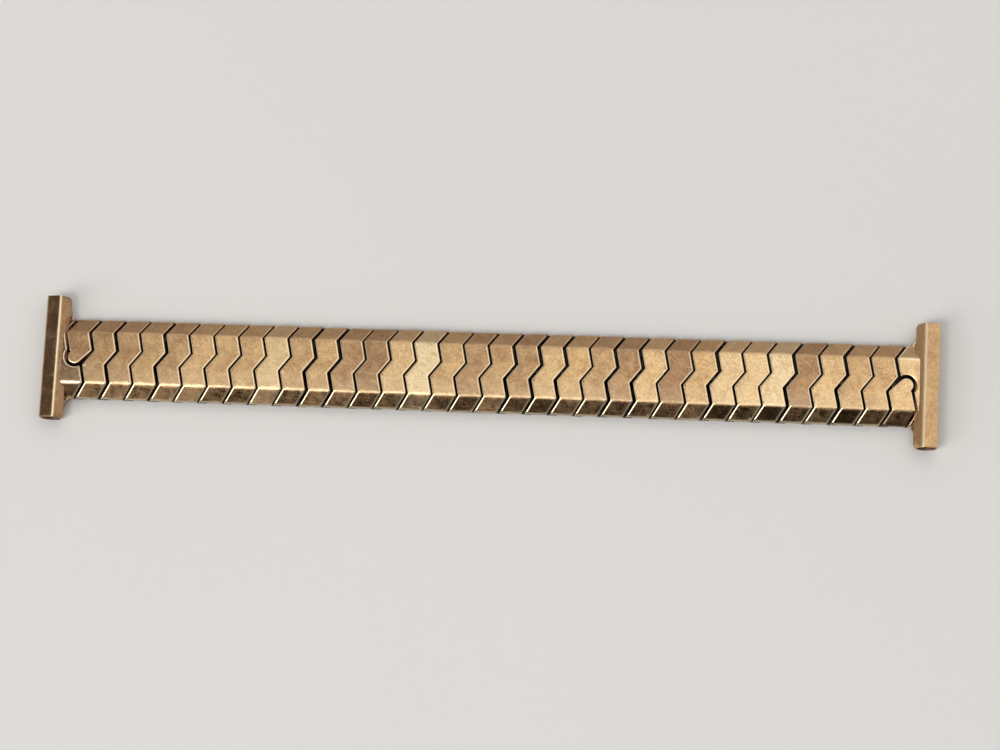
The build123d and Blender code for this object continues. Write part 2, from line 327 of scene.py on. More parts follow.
@dataclass(frozen=True)
class Roof:
    """Cross-section of the caps: a flat between two bevels, with rounded folds."""

    top: float = 2.60
    half_flat: float = 3.62
    half_band: float = 5.71
    drop: float = 1.25
    fold: float = 0.16
    # The next six set the wear and painted highlight of the near flat, the folds and the rims.
    near_flat: float = 0.24
    far_fold: float = 0.28
    near_line: float = 0.7
    far_line: float = 0.8
    far_rim: float = 0.20
    flat_rim: float = 0.65

    def height(self, y: float) -> float:
        """Height of the outer surface at y."""
        past = abs(y) - self.half_flat
        slope = self.drop / (self.half_band - self.half_flat)
        if past <= -self.fold:
            return self.top
        if past >= self.fold:
            return self.top - past * slope
        return self.top - slope * (past + self.fold) ** 2 / (4 * self.fold)

    def fold_wear_and_highlight(self, y: float) -> float:
        """Wear with painted highlight on the folds, and painted sheen on the near part of the
        flat, at y, from 0 to 1.
        """
        past_near, past_far = y + self.half_flat, y - self.half_flat
        flat = self.near_flat * smooth_step(1.0, -self.half_flat, y) if past_near > 0 else 0.0
        near = math.exp(-((past_near / (self.fold * self.near_line)) ** 2))
        far = math.exp(-((past_far / (self.fold * self.far_line)) ** 2))
        return max(flat, near, self.far_fold * far)

    def rim_wear_and_highlight(self, y: float) -> float:
        """How much of the wear and painted highlight of a cap's edge there is at y."""
        if y > self.half_flat:
            return self.far_rim
        return 1.0 if y < -self.half_flat else self.flat_rim

    def bevel(self, y: float) -> float:
        """1 on the far bevel, -1 on the near bevel and 0 on the flat."""
        return math.copysign(smooth_step(0, self.fold, abs(y) - self.half_flat), y)


@dataclass
class Sheet:
    """A mesh in the making, with the wear and painted light and the zone of each point."""

    mesh: bmesh.types.BMesh = field(default_factory=bmesh.new)
    wear: list[float] = field(default_factory=list)
    bevel: list[float] = field(default_factory=list)

    def point(
        self, x: float, y: float, z: float, wear: float = 0.0, bevel: float = 0.0
    ) -> bmesh.types.BMVert:
        """Adds one point.

        Args:
            x: Place along the band.
            y: Place across it.
            z: Height.
            wear: Wear with painted highlight from 0 to 1, or dirt with painted shade down to -1.
            bevel: Zone, 1 far bevel, -1 near bevel, 0 flat.

        Returns:
            The new point.
        """
        self.wear.append(wear)
        self.bevel.append(bevel)
        return self.mesh.verts.new((x * MM, y * MM, z * MM))

    def bridge(self, a: Loop, b: Loop) -> None:
        """Joins two closed rings that have as many points with faces."""
        for i in range(len(a)):
            j = (i + 1) % len(a)
            self.mesh.faces.new((a[i], a[j], b[j], b[i]))

    def rod(self, rings: Sequence[Loop]) -> None:
        """Joins rings in a row and closes the first and the last of them."""
        for a, b in zip(rings, rings[1:]):
            self.bridge(a, b)
        self.mesh.faces.new(rings[0])
        self.mesh.faces.new(rings[-1][::-1])

    def turn(self, angle: float) -> None:
        """Turns everything about the Z axis."""
        matrix = Matrix.Rotation(angle, 3, "Z")
        bmesh.ops.rotate(self.mesh, verts=self.mesh.verts, matrix=matrix)

    def move(self, x: float, y: float) -> None:
        """Moves everything along X and Y."""
        bmesh.ops.translate(self.mesh, verts=self.mesh.verts, vec=(x * MM, y * MM, 0))

    def swap_bevels(self) -> None:
        """Makes the far bevel the near one and the other way round."""
        self.bevel = [-bevel for bevel in self.bevel]

    def finish(self, name: str, tone: float, grime: float = 0.5) -> bpy.types.Object:
        """Makes the object.

        Args:
            name: Name of the piece.
            tone: Number from 0, golden, to 1, rosy; past 1 the whole piece is darkened.
            grime: Number from 0 to 1, how much dirt and painted shade its near bevels get.

        Returns:
            The new object, linked to the scene.
        """
        bmesh.ops.recalc_face_normals(self.mesh, faces=self.mesh.faces)
        data = bpy.data.meshes.new(name)
        self.mesh.to_mesh(data)
        self.mesh.free()
        count = len(self.wear)
        uniform = {"tone": [tone] * count, "grime": [grime] * count}
        add_values(data, {"wear": self.wear, "bevel": self.bevel, **uniform})
        data.shade_smooth()
        return placed(name, data)


@dataclass(frozen=True)
class Pressing:
    """Turns a plan outline into a hollow pressed shell under a roof."""

    roof: Roof = Roof()
    sheet: float = 0.25
    under_share: float = 1.16
    lip_share: float = 1.05
    least_wall: float = 0.02
    rim: float = 0.08
    chamfer: float = 0.09
    right_slope: float = 0.33
    left_slope: float = 0.46
    support: float = 0.07
    crisp: float = 0.015
    # Bends of the rim: angle, and wear with painted highlight that turns to painted shade at the
    # wall.
    bends: tuple[Point, ...] = ((35, 1.0), (62, 0.5), (90, -0.15))
    wall_drop: float = 0.09
    # Painted shade, partly dirt, down the seam walls, at the foot and inside the shell.
    wall_shade_and_dirt: float = -0.52
    foot_shade_and_dirt: float = -0.72
    inner_shade_and_dirt: float = -0.9
    fold_share: float = 0.9
    foot: float = 1.35
    lip: float = 1.00
    corner: float = 0.10
    run: float = 0.20
    cell: float = 0.30
    dent: float = 0.016
    dent_size: float = 1.3
    crown: float = 0.03

    def press(self, out: Sheet, outline: Sequence[Point], seed: float, tilt: Point) -> None:
        """Adds the shell to a sheet.

        Args:
            out: Sheet that takes the points and faces.
            outline: Plan outline.
            seed: Place in the noise field that dents the surface.
            tilt: Slopes along X and Y by which the piece sits unevenly.
        """
        edge = densified(rounded(counter_clockwise(outline), self.corner), self.run)
        middle = sum(p[0] for p in edge) / len(edge)
        flat_edge = self.rim + self.chamfer
        slopes = [
            self.left_slope if moved[0] > place[0] else self.right_slope
            for place, moved in zip(edge, inset(edge, self.rim))
        ]

        def outer(x: float, y: float) -> float:
            """Height of the dented top."""
            dents = noise.noise(Vector((x / self.dent_size, y / self.dent_size, seed)))
            lean = (x - middle) * tilt[0] + y * tilt[1]
            crown = self.crown * min((y / self.roof.half_flat) ** 2, 1.0)
            return self.roof.height(y) + min(dents * self.dent + lean - self.dent - crown, 0.0)

        def under(x: float, y: float) -> float:
            """Height of the top's inner face."""
            return outer(x, y) - self.sheet * self.under_share

        def bottom(x: float, y: float) -> float:
            """Height of the lower edge: the lip on the long sides, else the foot."""
            beside = abs(y) > self.roof.half_band - self.sheet * self.lip_share
            return min(self.lip if beside else self.foot, under(x, y) - self.least_wall)

        def ring(amount: float, drop: float, wear: float) -> Loop:
            """Ring of points round the edge, moved in and down."""
            loop = []
            for (x, y), slope in zip(inset(edge, amount), slopes):
                cut = slope * min(max(flat_edge - amount, 0.0), self.chamfer)
                # Rims and folds get wear with painted highlight; walls keep their painted shade.
                worn_and_lit = max(wear * self.roof.rim_wear_and_highlight(y), self.roof.fold_wear_and_highlight(y) * self.fold_share)
                worn_and_lit = worn_and_lit if wear > 0 else wear
                loop.append(out.point(x, y, outer(x, y) - drop - cut, worn_and_lit, self.roof.bevel(y)))
            return loop

        rings = [
            ring(flat_edge + self.support, 0.0, 0.1),
            ring(flat_edge + self.crisp, 0.0, 0.4),
            ring(flat_edge - self.crisp, 0.0, 1.0),
            ring(self.rim + self.crisp, 0.0, 1.0),
        ]
        for angle, wear in self.bends:
            a = math.radians(angle)
            rings.append(ring(self.rim * (1 - math.sin(a)), self.rim * (1 - math.cos(a)), wear))
        # Wall, foot and inner faces: painted shade, partly dirt.
        rings.append(ring(0.0, self.rim + self.wall_drop, self.wall_shade_and_dirt))
        rings.append([out.point(x, y, bottom(x, y), self.foot_shade_and_dirt) for x, y in edge])
        shrunk = inset(edge, self.sheet)
        pairs = zip(shrunk, edge)
        rings.append([out.point(x, y, bottom(*e), self.inner_shade_and_dirt) for (x, y), e in pairs])
        rings.append([out.point(x, y, under(x, y), -1.0) for x, y in shrunk])
        for a, b in zip(rings, rings[1:]):
            out.bridge(a, b)
        self.fill(out, rings[0], outer, self.cell)
        self.fill(out, rings[-1], under, self.cell * 2)

    def fill(
        self, out: Sheet, ring: Loop, level: Callable[[float, float], float], cell: float
    ) -> None:
        """Closes a ring with a surface of small faces.

        Args:
            out: Sheet that takes the faces.
            ring: Ring of points round the surface.
            level: Height of the surface.
            cell: Spacing of the points inside the ring.
        """
        loop = [(v.co.x / MM, v.co.y / MM) for v in ring]
        low_x, low_y = min(p[0] for p in loop), min(p[1] for p in loop)
        high_x, high_y = max(p[0] for p in loop), max(p[1] for p in loop)
        inner: list[Point] = []
        for row in range(int((high_y - low_y) / cell) + 1):
            for column in range(int((high_x - low_x) / cell) + 2):
                x = low_x + (column + 0.5 * (row % 2)) * cell
                y = low_y + (row + 0.5) * cell
                if holds(loop, x, y, cell * 0.45):
                    inner.append((x, y))
        places = [Vector(p) for p in loop + inner]
        count = len(loop)
        sides = [(i, (i + 1) % count) for i in range(count)]
        points, _, faces, origins, _, _ = delaunay_2d_cdt(places, sides, [], 1, 1e-6)
        made: Loop = []
        for (x, y), origin in zip(points, origins):
            if origin and origin[0] < count:
                made.append(ring[origin[0]])
            else:
                # Points of the top get the folds' wear with painted highlight and the near flat's
                # painted sheen.
                wear = self.roof.fold_wear_and_highlight(y) * self.fold_share
                made.append(out.point(x, y, level(x, y), wear, self.roof.bevel(y)))
        for face in faces:
            corners = [made[i] for i in face]
            if len(set(corners)) > 2 and not out.mesh.faces.get(corners):
                out.mesh.faces.new(corners)


@dataclass(frozen=True)
class Graph:
    """A node tree in the making, whose nodes are joined as they are added."""

    tree: bpy.types.NodeTree

    def put(self, socket: Socket, value: object) -> None:
        """Links an input to the socket that feeds it, or sets its value.

        Args:
            socket: The input.
            value: Socket or plain value.
        """
        if isinstance(value, Socket):
            self.tree.links.new(value, socket)
        else:
            socket.default_value = value

    def add(self, kind: str, inputs: dict | None = None, **settings: object) -> bpy.types.Node:
        """Adds a node.

        Args:
            kind: Type of the node.
            inputs: Socket or value for each input, by its name or number.
            settings: The node's own settings.

        Returns:
            The node.
        """
        node = self.tree.nodes.new(kind)
        for label, value in settings.items():
            setattr(node, label, value)
        for label, value in (inputs or {}).items():
            self.put(node.inputs[label], value)
        return node

    def math(self, kind: str, *values: Feed) -> Socket:
        """Result of a math node."""
        return self.add("ShaderNodeMath", dict(enumerate(values)), operation=kind).outputs[0]

    def times(self, *values: Feed) -> Socket:
        """Product of two or more values."""
        return reduce(lambda a, b: self.math("MULTIPLY", a, b), values)

    def plus(self, *values: Feed) -> Socket:
        """Sum of two or more values."""
        return reduce(lambda a, b: self.math("ADD", a, b), values)

    def scaled(self, value: Feed, gain: float, offset: Feed) -> Socket:
        """A value times a gain, plus an offset."""
        return self.math("MULTIPLY_ADD", value, gain, offset)

    def clamped(self, value: Socket) -> Socket:
        """A value kept between 0 and 1."""
        limits = {"operation": "MULTIPLY", "use_clamp": True}
        return self.add("ShaderNodeMath", {0: value, 1: 1.0}, **limits).outputs[0]

    def ranged(
        self, value: Socket, before: Sequence[Feed], after: Point, eased: bool = False
    ) -> Socket:
        """Maps a number from one range to another, and keeps it there.

        Args:
            value: Socket with the number.
            before: Its range.
            after: The range of the result.
            eased: True if both ends of the range are soft.

        Returns:
            Socket with the result.
        """
        labels = ("Value", "From Min", "From Max", "To Min", "To Max")
        kind = "SMOOTHSTEP" if eased else "LINEAR"
        inputs = dict(zip(labels, (value, *before, *after)))
        return self.add("ShaderNodeMapRange", inputs, interpolation_type=kind).outputs["Result"]

    def attribute(self, name: str) -> Socket:
        """Number that is stored on the mesh."""
        return self.add("ShaderNodeAttribute", attribute_name=name).outputs["Fac"]

    def noise(self, **inputs: Feed) -> Socket:
        """Noise, with its inputs given by their names."""
        named = {label.capitalize(): value for label, value in inputs.items()}
        return self.add("ShaderNodeTexNoise", named).outputs["Fac"]

    def effect(self, group: bpy.types.NodeTree, vector: Socket, **values: float) -> bpy.types.Node:
        """Places a shared effect.

        Args:
            group: The effect.
            vector: Socket with the place on the surface.
            values: Values of the effect's inputs.

        Returns:
            The group node.
        """
        named = {label.capitalize(): value for label, value in values.items()}
        return self.add("ShaderNodeGroup", {"Vector": vector, **named}, node_tree=group)

    def layered(self, base: Colour, *layers: tuple[Socket, Colour]) -> Socket:
        """Lays colours over a base.

        Args:
            base: Colour under the layers.
            layers: Mask and colour of each layer, the lowest first.

        Returns:
            Socket with the colour that shows.
        """
        below = (*base, 1.0)
        for mask, colour in layers:
            node = self.add("ShaderNodeMix", {"Factor": mask}, data_type="RGBA")
            under, over = (socket for socket in node.inputs if socket.type == "RGBA")
            self.put(under, below)
            self.put(over, (*colour, 1.0))
            below = next(socket for socket in node.outputs if socket.type == "RGBA")
        return below

    def bump(self, height: Socket, strength: float) -> Socket:
        """Normal of a surface with a relief of a fiftieth of a millimetre."""
        inputs = {"Height": height, "Strength": strength, "Distance": 0.02 * MM}
        return self.add("ShaderNodeBump", inputs).outputs["Normal"]


class Effects:
    """Shader node groups that several finishes share."""

    def __init__(self) -> None:
        """Builds the groups."""
        self.scratches = self._scratches()
        self.patches = self._patches()

    @staticmethod
    def _group(
        name: str, inputs: dict[str, float], outputs: Sequence[str]
    ) -> tuple[Graph, bpy.types.Node, bpy.types.Node]:
        """Starts a node group.

        Args:
            name: Name of the group.
            inputs: Input names and default values.
            outputs: Output names.

        Returns:
            The group's graph, its input node and its output node.
        """
        tree = bpy.data.node_groups.new(name, "ShaderNodeTree")
        sockets = tree.interface
        sockets.new_socket("Vector", in_out="INPUT", socket_type="NodeSocketVector")
        for label, value in inputs.items():
            socket = sockets.new_socket(label, in_out="INPUT", socket_type="NodeSocketFloat")
            socket.default_value = value
        for label in outputs:
            sockets.new_socket(label, in_out="OUTPUT", socket_type="NodeSocketFloat")
        graph = Graph(tree)
        return graph, graph.add("NodeGroupInput"), graph.add("NodeGroupOutput")

    def _scratches(self) -> bpy.types.NodeTree:
        """Fine crossing scratches, as a Height and a Mask.

        Returns:
            The node group.
        """
        inputs = {"Scale": 900.0, "Amount": 1.0, "Swirl": 0.0}
        graph, source, result = self._group("Scratches", inputs, ("Height", "Mask"))
        given = source.outputs
        lines = []
        directions = ((0.7, 9.0, 0.50), (-0.9, 12.0, 0.35), (1.3, 7.0, 0.35), (0.1, 13.0, 0.35))
        for turn, stretch, share in directions:
            turning = {"Vector": given["Vector"], "Angle": turn}
            turned = graph.add("ShaderNodeVectorRotate", turning, rotation_type="Z_AXIS")
            drawing = {"Scale": (1 / stretch, 1.0, 1.0), "Location": (turn, 3 * turn, 0.0)}
            drawn = graph.add("ShaderNodeMapping", {"Vector": turned.outputs["Vector"], **drawing})
            streaks = graph.noise(
                vector=drawn.outputs["Vector"],
                scale=given["Scale"],
                distortion=given["Swirl"],
                detail=3.0,
                roughness=0.65,
            )
            lines.append(graph.ranged(streaks, (0.57, 0.68), (0.0, share)))
        amount = graph.times(graph.plus(*lines), given["Amount"])
        graph.put(result.inputs["Height"], graph.times(amount, -1.0))
        graph.put(result.inputs["Mask"], amount)
        return graph.tree

    def _patches(self) -> bpy.types.NodeTree:
        """Cloudy patches with grainy edges, as a Mask.

        Returns:
            The node group.
        """
        inputs = {"Scale": 500.0, "Grain": 5000.0, "Low": 0.42, "High": 0.62}
        graph, source, result = self._group("Patches", inputs, ("Mask",))
        given = source.outputs
        place = given["Vector"]
        broad = graph.noise(vector=place, scale=given["Scale"], detail=5.0, roughness=0.62)
        fine = graph.noise(vector=place, scale=given["Grain"], detail=4.0)
        joined = graph.plus(broad, graph.scaled(fine, 0.30, -0.15))
        mask = graph.ranged(joined, (given["Low"], given["High"]), (0.0, 1.0), eased=True)
        graph.put(result.inputs["Mask"], mask)
        return graph.tree


def started(name: str) -> tuple[bpy.types.Material, Graph, bpy.types.Node, Socket]:
    """Starts a metal.

    Args:
        name: Name of the material.

    Returns:
        The material, its graph, its shader and a place that differs from piece to piece.
    """
    material = bpy.data.materials.new(name)
    material.use_nodes = True
    graph = Graph(material.node_tree)
    shader = graph.tree.nodes["Principled BSDF"]
    shader.inputs["Metallic"].default_value = 1.0
    place = graph.add("ShaderNodeTexCoord").outputs["Object"]
    tone = graph.add("ShaderNodeAttribute", attribute_name="tone").outputs["Vector"]
    inputs = {0: tone, 1: (0.37, 0.61, 0.83), 2: place}
    shift = graph.add("ShaderNodeVectorMath", inputs, operation="MULTIPLY_ADD")
    return material, graph, shader, shift.outputs["Vector"]


@dataclass(frozen=True)
class BrassFinish:
    """Worn gold filling over brass. A pair of numbers is a gain and an offset, or a range."""

    name: str
    gold: Colour = (0.84, 0.56, 0.272)
    rose: Colour = (0.33, 0.180, 0.098)
    pale: Colour = (1.0, 0.84, 0.56)
    speck: Colour = (0.23, 0.120, 0.062)
    dirt_shade_colour: Colour = (0.045, 0.022, 0.012)
    grit: Colour = (0.36, 0.165, 0.085)
    amber: Colour = (0.62, 0.33, 0.14)
    cream: Colour = (1.0, 0.86, 0.56)
    roughness: float = 0.28
    patch_roughness: float = 0.10
    relief: float = 0.5
    grain_relief: float = -0.35
    aging: Point = (1.3, -0.42)
    patch_aging: float = 0.6
    patina: float = 0.92
    fresh: Point = (-3.0, 0.84)
    fresh_share: float = 0.85
    grain: float = 0.38
    fresh_grain: Point = (-0.55, 1.0)
    flecks: float = 0.38
    bevel_plain: Point = (-0.3, 1.0)
    bevel_shade: float = 0.6
    stains: float = 0.55
    near_dirt_and_shade_gain: Point = (1.5, -0.32)
    near_dirt_and_shade: float = 0.97
    scratches: float = 0.4
    clean: Point = (-0.85, 1.1)
    wear_light_from: Point = (0.05, 1.0)
    wear_light_to: Point = (0.0, 0.9)
    dirt_and_shade_gain: float = -1.1
    coat: Point = (0.42, 0.55)
    coat_depth: Point = (0.62, 0.90)
    coated: float = 0.15

    def paint(self, effects: Effects) -> bpy.types.Material:
        """Worn gold filling: patches, dirt with painted shade, worn edges with painted highlight,
        and scratches.

        Args:
            effects: Node groups that the finishes share.

        Returns:
            The material.
        """
        material, graph, shader, vector = started(self.name)
        labels = ("wear", "bevel", "tone", "grime")
        wear, zone, tone, grime = (graph.attribute(label) for label in labels)
        cloudy, scratched = effects.patches, effects.scratches
        broad = graph.effect(cloudy, vector, scale=480.0, grain=3200.0, low=0.36, high=0.72)
        stain = graph.effect(cloudy, vector, scale=900.0, grain=7000.0, low=0.46, high=0.64)
        fine = graph.effect(cloudy, vector, scale=3500.0, grain=9000.0, low=0.38, high=0.66)
        fleck = graph.effect(cloudy, vector, scale=1400.0, grain=6000.0, low=0.50, high=0.62)
        lines = graph.effect(scratched, vector, scale=5400.0, amount=1.0)
        swirls = graph.effect(scratched, vector, scale=5200.0, amount=1.5, swirl=1.1)
        patches, stains, grain, flecks, strokes, scratches = (
            node.outputs["Mask"] for node in (broad, stain, fine, fleck, swirls, lines)
        )

        age = graph.plus(graph.scaled(tone, *self.aging), graph.times(patches, self.patch_aging))
        rosy = graph.times(graph.clamped(age), self.patina)
        fresh = graph.times(graph.clamped(graph.scaled(tone, *self.fresh)), self.fresh_share)
        sloped = graph.math("ABSOLUTE", zone)
        plain = graph.scaled(sloped, *self.bevel_plain)
        less = graph.scaled(fresh, *self.fresh_grain)
        speckle = graph.times(grain, self.grain, plain, less)
        # Tone past 1 darkens the whole piece.
        heavy = graph.clamped(graph.math("SUBTRACT", tone, 1.0))
        near = graph.clamped(graph.times(zone, -1.0))
        # Near bevels: painted shade, partly dirt, from the stains and the piece's own amount.
        gain, start = self.near_dirt_and_shade_gain
        shaded = graph.plus(graph.times(stains, self.stains), graph.times(grime, gain), start)
        shaded = graph.times(graph.clamped(shaded), graph.times(near, self.near_dirt_and_shade))
        away = graph.math("SUBTRACT", 1.0, near)
        bright = graph.times(scratches, self.scratches, plain, away)
        rubbed = graph.times(near, strokes, graph.scaled(grime, *self.clean))
        # Wear with painted highlight on folds and rims, in the pale colour.
        worn_and_lit = graph.ranged(wear, self.wear_light_from, self.wear_light_to)
        # Negative values: painted shade in seams, hollows and under parts, partly dirt.
        dirt_and_shade = graph.clamped(graph.times(wear, self.dirt_and_shade_gain))
        coated = graph.ranged(dirt_and_shade, self.coat, (0.0, 1.0))
        shallow = graph.ranged(dirt_and_shade, self.coat_depth, (1.0, self.coated))
        colour = graph.layered(
            self.gold,
            (rosy, self.rose),
            (fresh, self.cream),
            (graph.times(flecks, self.flecks), self.amber),
            (speckle, self.speck),
            (heavy, self.dirt_shade_colour),
            # Bevels and shaded bar faces: painted shade in the rose colour.
            (graph.times(sloped, self.bevel_shade), self.rose),
            # Near bevels: painted shade, partly dirt.
            (shaded, self.dirt_shade_colour),
            (bright, self.pale),
            (graph.clamped(rubbed), self.gold),
            # Folds and rims: wear with painted highlight.
            (worn_and_lit, self.pale),
            # Seams, hollows and under parts: painted shade, partly dirt.
            (dirt_and_shade, self.dirt_shade_colour),
            (graph.times(coated, shallow), self.grit),
        )
        graph.put(shader.inputs["Base Color"], colour)
        bare = graph.ranged(dirt_and_shade, self.coat, (1.0, self.coated))
        graph.put(shader.inputs["Metallic"], bare)
        rough = graph.scaled(patches, self.patch_roughness, self.roughness)
        graph.put(shader.inputs["Roughness"], rough)
        relief = graph.scaled(grain, self.grain_relief, lines.outputs["Height"])
        graph.put(shader.inputs["Normal"], graph.bump(relief, self.relief))
        return material


@dataclass(frozen=True)
class SteelFinish:
    """Satin stainless steel with handling marks."""

    name: str
    steel: Colour = (0.46, 0.45, 0.43)
    stain: Colour = (0.20, 0.17, 0.14)
    grime: Colour = (0.035, 0.026, 0.020)
    roughness: float = 0.34
    stain_roughness: float = 0.20
    relief: float = 0.35
    floor_shade: float = 3.0

    def paint(self, effects: Effects) -> bpy.types.Material:
        """Satin steel with stains and scratches, painted dark as shade where it faces up and on
        the tongues.

        Args:
            effects: Node groups that the finishes share.

        Returns:
            The material.
        """
        material, graph, shader, vector = started(self.name)
        stains = graph.effect(
            effects.patches, vector, scale=600.0, grain=5200.0, low=0.48, high=0.70
        ).outputs["Mask"]
        scratches = graph.effect(effects.scratches, vector, scale=2400.0, amount=1.0)
        # Faces that point up, which lie under the caps, and the tongues get painted shade, partly
        # grime.
        facing = graph.add("ShaderNodeTexCoord").outputs["Normal"]
        parts = graph.add("ShaderNodeSeparateXYZ", {"Vector": facing})
        upward = graph.times(parts.outputs["Z"], self.floor_shade)
        inside = graph.clamped(graph.math("SUBTRACT", upward, graph.attribute("wear")))
        colour = graph.layered(self.steel, (stains, self.stain), (inside, self.grime))
        graph.put(shader.inputs["Base Color"], colour)
        rough = graph.scaled(stains, self.stain_roughness, self.roughness)
        graph.put(shader.inputs["Roughness"], rough)
        height = scratches.outputs["Height"]
        graph.put(shader.inputs["Normal"], graph.bump(height, self.relief))
        return material


@dataclass
class Piece:
    """Base of the sub-assemblies, with the two metals that they are made of."""

    brass: bpy.types.Material
    steel: bpy.types.Material

    def dress(
        self, made: bpy.types.Object, body: str, nodes: Sequence[str], slot: Slot
    ) -> bpy.types.Object:
        """Gives a piece its material, body and slot.

        Args:
            made: The piece.
            body: CAD body that it rides on.
            nodes: CAD nodes that it stands for.
            slot: Material slot.

        Returns:
            The piece.
        """
        made.data.materials.clear()
        made.data.materials.append(self.brass if slot is Slot.GOLD else self.steel)
        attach(made, body)
        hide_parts(*nodes)
        log.info("%s rides on %s", made.name, body)
        return made


@dataclass
class Cap(Piece):
    """One cap: full, or lobed beside a T-bar, with the ears that hold it to its casing."""

    wave: Wave = Wave()
    pressing: Pressing = Pressing()
    lobe_steps: int = 22
    ear_width: float = 1.10
    ear_start: float = 0.20
    ear_fold: float = 1.05
    ear_sheet: float = 0.20
    ear_inset: float = 0.13
    ear_bend: float = 0.16
    ear_edge: float = 0.03
    ear_root: float = 0.2
    ear_round: float = 0.02
    ear_shade: Point = (-0.75, -0.8)
    ear_rub: float = 0.4
    tilt: float = 0.014
    slip: float = 0.05
    twist: float = 0.006
    seed: int = 40152
    seed_step: float = 7.3
    wide_seams: tuple[int, ...] = (3, 5, 11, 12, 19, 20, 21, 23, 24, 27, 30, 32, 34)
    wide: float = 0.49
    narrow: float = 0.31
    even: float = 0.40
    # Dirt and painted shade on the near bevels: base amount, growth to the right over the trend
    # length, and random spread.
    grime: float = 0.56
    grime_and_shade_trend: float = 0.38
    grime_and_shade_spread: Point = (-0.34, 0.30)
    trend_length: float = 60.0

    def seam_shift(self, number: int) -> float:
        """How far a seam's sides stand from their even places.

        Args:
            number: Number of the link to the right of the seam.

        Returns:
            The distance, larger than 0 if the seam is wide.
        """
        if number < 3 or number > LINK_COUNT - 1:
            return 0.0
        width = self.wide if number in self.wide_seams else self.narrow
        return (width - self.even) / 2

    def full_outline(self, number: int) -> list[Point]:
        """Plan outline of a full cap.

        Args:
            number: Number of its link.

        Returns:
            The outline, clockwise from the far edge.
        """
        right = self.wave.half_width - self.seam_shift(number + 1)
        left = self.seam_shift(number) - self.wave.half_width
        return self.wave.seam(right) + self.wave.seam(left)[::-1]

    def lobed_outline(self) -> list[Point]:
        """Plan outline of the left lobed cap: its far half and a round lobe.

        Returns:
            The outline, clockwise from the far edge.
        """
        wave = self.wave
        right, left = wave.seam(wave.half_width)[:3], wave.seam(-wave.half_width)[:3]
        start = wave.touch(right[2], wave.lobe_radius)
        return right + wave.arc(wave.lobe_radius, start, left[2], self.lobe_steps) + left[::-1]

    def _ear(self, out: Sheet, side: int) -> None:
        """Adds one ear: a strip down outside the casing and in under it.

        Args:
            out: Sheet that takes it.
            side: 1 on the far side and -1 on the near side.
        """
        band = self.wave.half_band - self.ear_inset
        top, bend, thick = self.pressing.lip + self.ear_root, self.ear_bend, self.ear_sheet
        path: list[Point] = [(band, top), (band, bend)]
        for angle in (30, 60):
            a = math.radians(angle)
            path.append((band - bend * (1 - math.cos(a)), bend * (1 - math.sin(a))))
        path += [(band - bend, 0.0), (band - self.ear_fold, 0.0)]
        inner = [(band - thick, top)]
        for back, rise in ((0.0, 0.04), (0.01, 0.02), (0.02, 0.01), (0.04, 0.0)):
            inner.append((band - thick - back, thick + rise))
        inner.append((band - self.ear_fold, thick))
        left, right = sorted((side * self.ear_start, side * (self.ear_start + self.ear_width)))
        loops = []
        for x in (left, left + self.ear_edge, right - self.ear_edge, right):
            edge = 1.0 if x in (left, right) else 0.0
            cut = self.ear_round * edge
            # Ears get painted shade under the lip, less at their rubbed edges.
            wear = edge * self.ear_rub + self.ear_shade[0]
            loop = [out.point(x, side * (y - cut), z + cut, wear) for y, z in path]
            for y, z in reversed(inner):
                loop.append(out.point(x, side * (y + cut), z - cut, self.ear_shade[1]))
            loops.append(loop)
        out.rod(loops)

    def build(self, number: int) -> bpy.types.Object:
        """Builds the cap of one link and puts it on its body.

        Args:
            number: Number of the link, from 1 at the left end.

        Returns:
            The cap.
        """
        chance = random.Random(self.seed + number)
        last = number == LINK_COUNT
        lobed = number == 1 or last
        out = Sheet()
        tilt = (chance.uniform(-1, 1) * self.tilt, chance.uniform(-1, 1) * self.tilt * 0.3)
        slip, twist = chance.uniform(-1, 1) * self.slip, chance.uniform(-1, 1) * self.twist
        outline = self.lobed_outline() if lobed else self.full_outline(number)
        self.pressing.press(out, outline, seed=number * self.seed_step, tilt=tilt)
        for side in (1,) if lobed else (1, -1):
            self._ear(out, side)
        if last:
            out.turn(math.pi)
            out.swap_bevels()
        x = link_x(number)
        out.turn(twist)
        out.move(x, slip)
        # Dirt and painted shade on the near bevel, more towards the right end.
        grime = self.grime + self.grime_and_shade_trend * x / self.trend_length
        grime += chance.uniform(*self.grime_and_shade_spread)
        made = out.finish(f"cap_{number:02d}", chance.random(), min(max(grime, 0.0), 1.0))
        return self.dress(made, f"link_{number:02d}", [f"link_{number:02d}"], Slot.GOLD)


